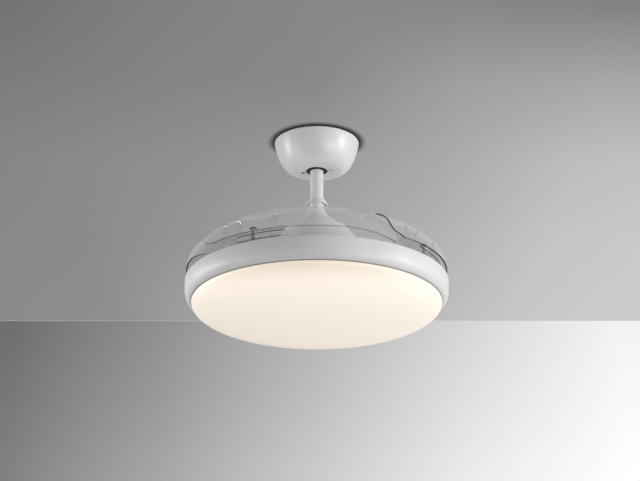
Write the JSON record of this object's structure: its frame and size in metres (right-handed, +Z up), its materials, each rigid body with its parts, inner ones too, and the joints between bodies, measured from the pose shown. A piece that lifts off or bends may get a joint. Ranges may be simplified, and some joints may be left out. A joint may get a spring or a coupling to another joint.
{
  "type": "retractable blade ceiling fan",
  "caption": "Ceiling fan on a short downrod: clear blades fold in over a round drum with a glowing opal diffuser and swing out on pivots when the rotor turns.",
  "frame": {"origin": "On the fan's axis in the plane of the ceiling, at the middle of the two ceiling screw slots.", "axes": "+Z is up into the ceiling along the fan's axis, +X runs through both ceiling slots, and -Y faces the viewer of the picture."},
  "size_m": [0.503, 0.503, 0.3807],
  "materials": {
    "white_paint": "satin white powder coat",
    "white_plastic": "moulded white plastic",
    "board_white": "aluminium sheet under white reflector lacquer",
    "led_chip": "yellow phosphor",
    "zinc_steel": "bright zinc plate",
    "dark_steel": "dark steel",
    "cast_aluminium": "die cast, turned",
    "copper_wire": "enamelled copper",
    "black_plastic": "black nylon",
    "grey_rubber": "soft grey seal",
    "clear_plastic": "clear moulded plastic, faint smoke tint",
    "opal_acrylic": "opal, evenly lit warm white"
  },
  "bodies": {
    "ceiling_side": {"ceiling_bracket": "dark_steel", "canopy": "white_paint", "canopy_screws": "zinc_steel", "terminal_block": "white_plastic"},
    "hanging_unit": {"hanger_ball": "black_plastic", "ball_cross_pin": "zinc_steel", "downrod": "white_paint", "rod_collar": "white_paint", "motor_coupling": "zinc_steel", "coupling_pin": "zinc_steel", "coupling_clip": "dark_steel", "coupling_set_screws": "dark_steel", "motor_top_cover": "white_paint", "cover_screws": "zinc_steel", "motor_shaft": "zinc_steel", "shaft_spacers": "zinc_steel", "upper_bearing": "dark_steel", "lower_bearing": "dark_steel", "stator_core": "dark_steel", "stator_windings": "copper_wire", "shaft_nut": "zinc_steel", "drum_ring": "white_plastic", "drum_deck": "board_white", "deck_screws": "zinc_steel", "driver_box": "white_plastic", "receiver_box": "white_plastic", "panel_standoffs": "zinc_steel", "led_panel": "board_white", "led_board": "board_white", "led_chips": "led_chip", "seam_seal": "grey_rubber", "supply_lead": "white_plastic", "lead_connector": "white_plastic"},
    "rotor": {"rotor_shell": "cast_aluminium", "rotor_magnets": "dark_steel", "rotor_base": "cast_aluminium", "blade_carrier": "white_plastic", "carrier_screws": "zinc_steel", "pivot_pins": "zinc_steel", "pin_clips": "dark_steel", "pivot_bushes": "white_plastic", "return_springs": "zinc_steel"},
    "folding_blade_1": {"blade_1": "clear_plastic", "blade_arm_1": "clear_plastic", "arm_screws_1": "zinc_steel"},
    "folding_blade_2": {"blade_2": "clear_plastic", "blade_arm_2": "clear_plastic", "arm_screws_2": "zinc_steel"},
    "folding_blade_3": {"blade_3": "clear_plastic", "blade_arm_3": "clear_plastic", "arm_screws_3": "zinc_steel"},
    "folding_blade_4": {"blade_4": "clear_plastic", "blade_arm_4": "clear_plastic", "arm_screws_4": "zinc_steel"},
    "diffuser_cover": {"diffuser": "opal_acrylic"}
  },
  "joints": [
    {"name": "hanger_tilt", "type": "hinge", "parent": "ceiling_side", "child": "hanging_unit", "pos_m": [0, 0, -0.04741], "axis": [0, 1, 0], "range_deg": [-12, 12]},
    {"name": "rotor_spin", "type": "hinge", "parent": "hanging_unit", "child": "rotor", "pos_m": [0, 0, -0.25], "axis": [0, 0, 1], "continuous": true},
    {"name": "blade_1_swing", "type": "hinge", "parent": "rotor", "child": "folding_blade_1", "pos_m": [-0.1145, -0.19832, -0.27], "axis": [0, 0, -1], "range_deg": [0, 125], "stiffness_Nm_per_rad": 0.12, "springref_deg": -17.19},
    {"name": "blade_2_swing", "type": "hinge", "parent": "rotor", "child": "folding_blade_2", "pos_m": [0.19832, -0.1145, -0.27], "axis": [0, 0, -1], "range_deg": [0, 125], "stiffness_Nm_per_rad": 0.12, "springref_deg": -17.19},
    {"name": "blade_3_swing", "type": "hinge", "parent": "rotor", "child": "folding_blade_3", "pos_m": [0.1145, 0.19832, -0.27], "axis": [0, 0, -1], "range_deg": [0, 125], "stiffness_Nm_per_rad": 0.12, "springref_deg": -17.19},
    {"name": "blade_4_swing", "type": "hinge", "parent": "rotor", "child": "folding_blade_4", "pos_m": [-0.19832, 0.1145, -0.27], "axis": [0, 0, -1], "range_deg": [0, 125], "stiffness_Nm_per_rad": 0.12, "springref_deg": -17.19},
    {"name": "diffuser_twist", "type": "hinge", "parent": "hanging_unit", "child": "diffuser_cover", "pos_m": [0, 0, -0.3366], "axis": [0, 0, 1], "range_deg": [0, 14]}
  ],
  "couplings": [
    {"joint": "blade_2_swing", "follows": "blade_1_swing", "ratio": 1},
    {"joint": "blade_3_swing", "follows": "blade_1_swing", "ratio": 1},
    {"joint": "blade_4_swing", "follows": "blade_1_swing", "ratio": 1}
  ]
}
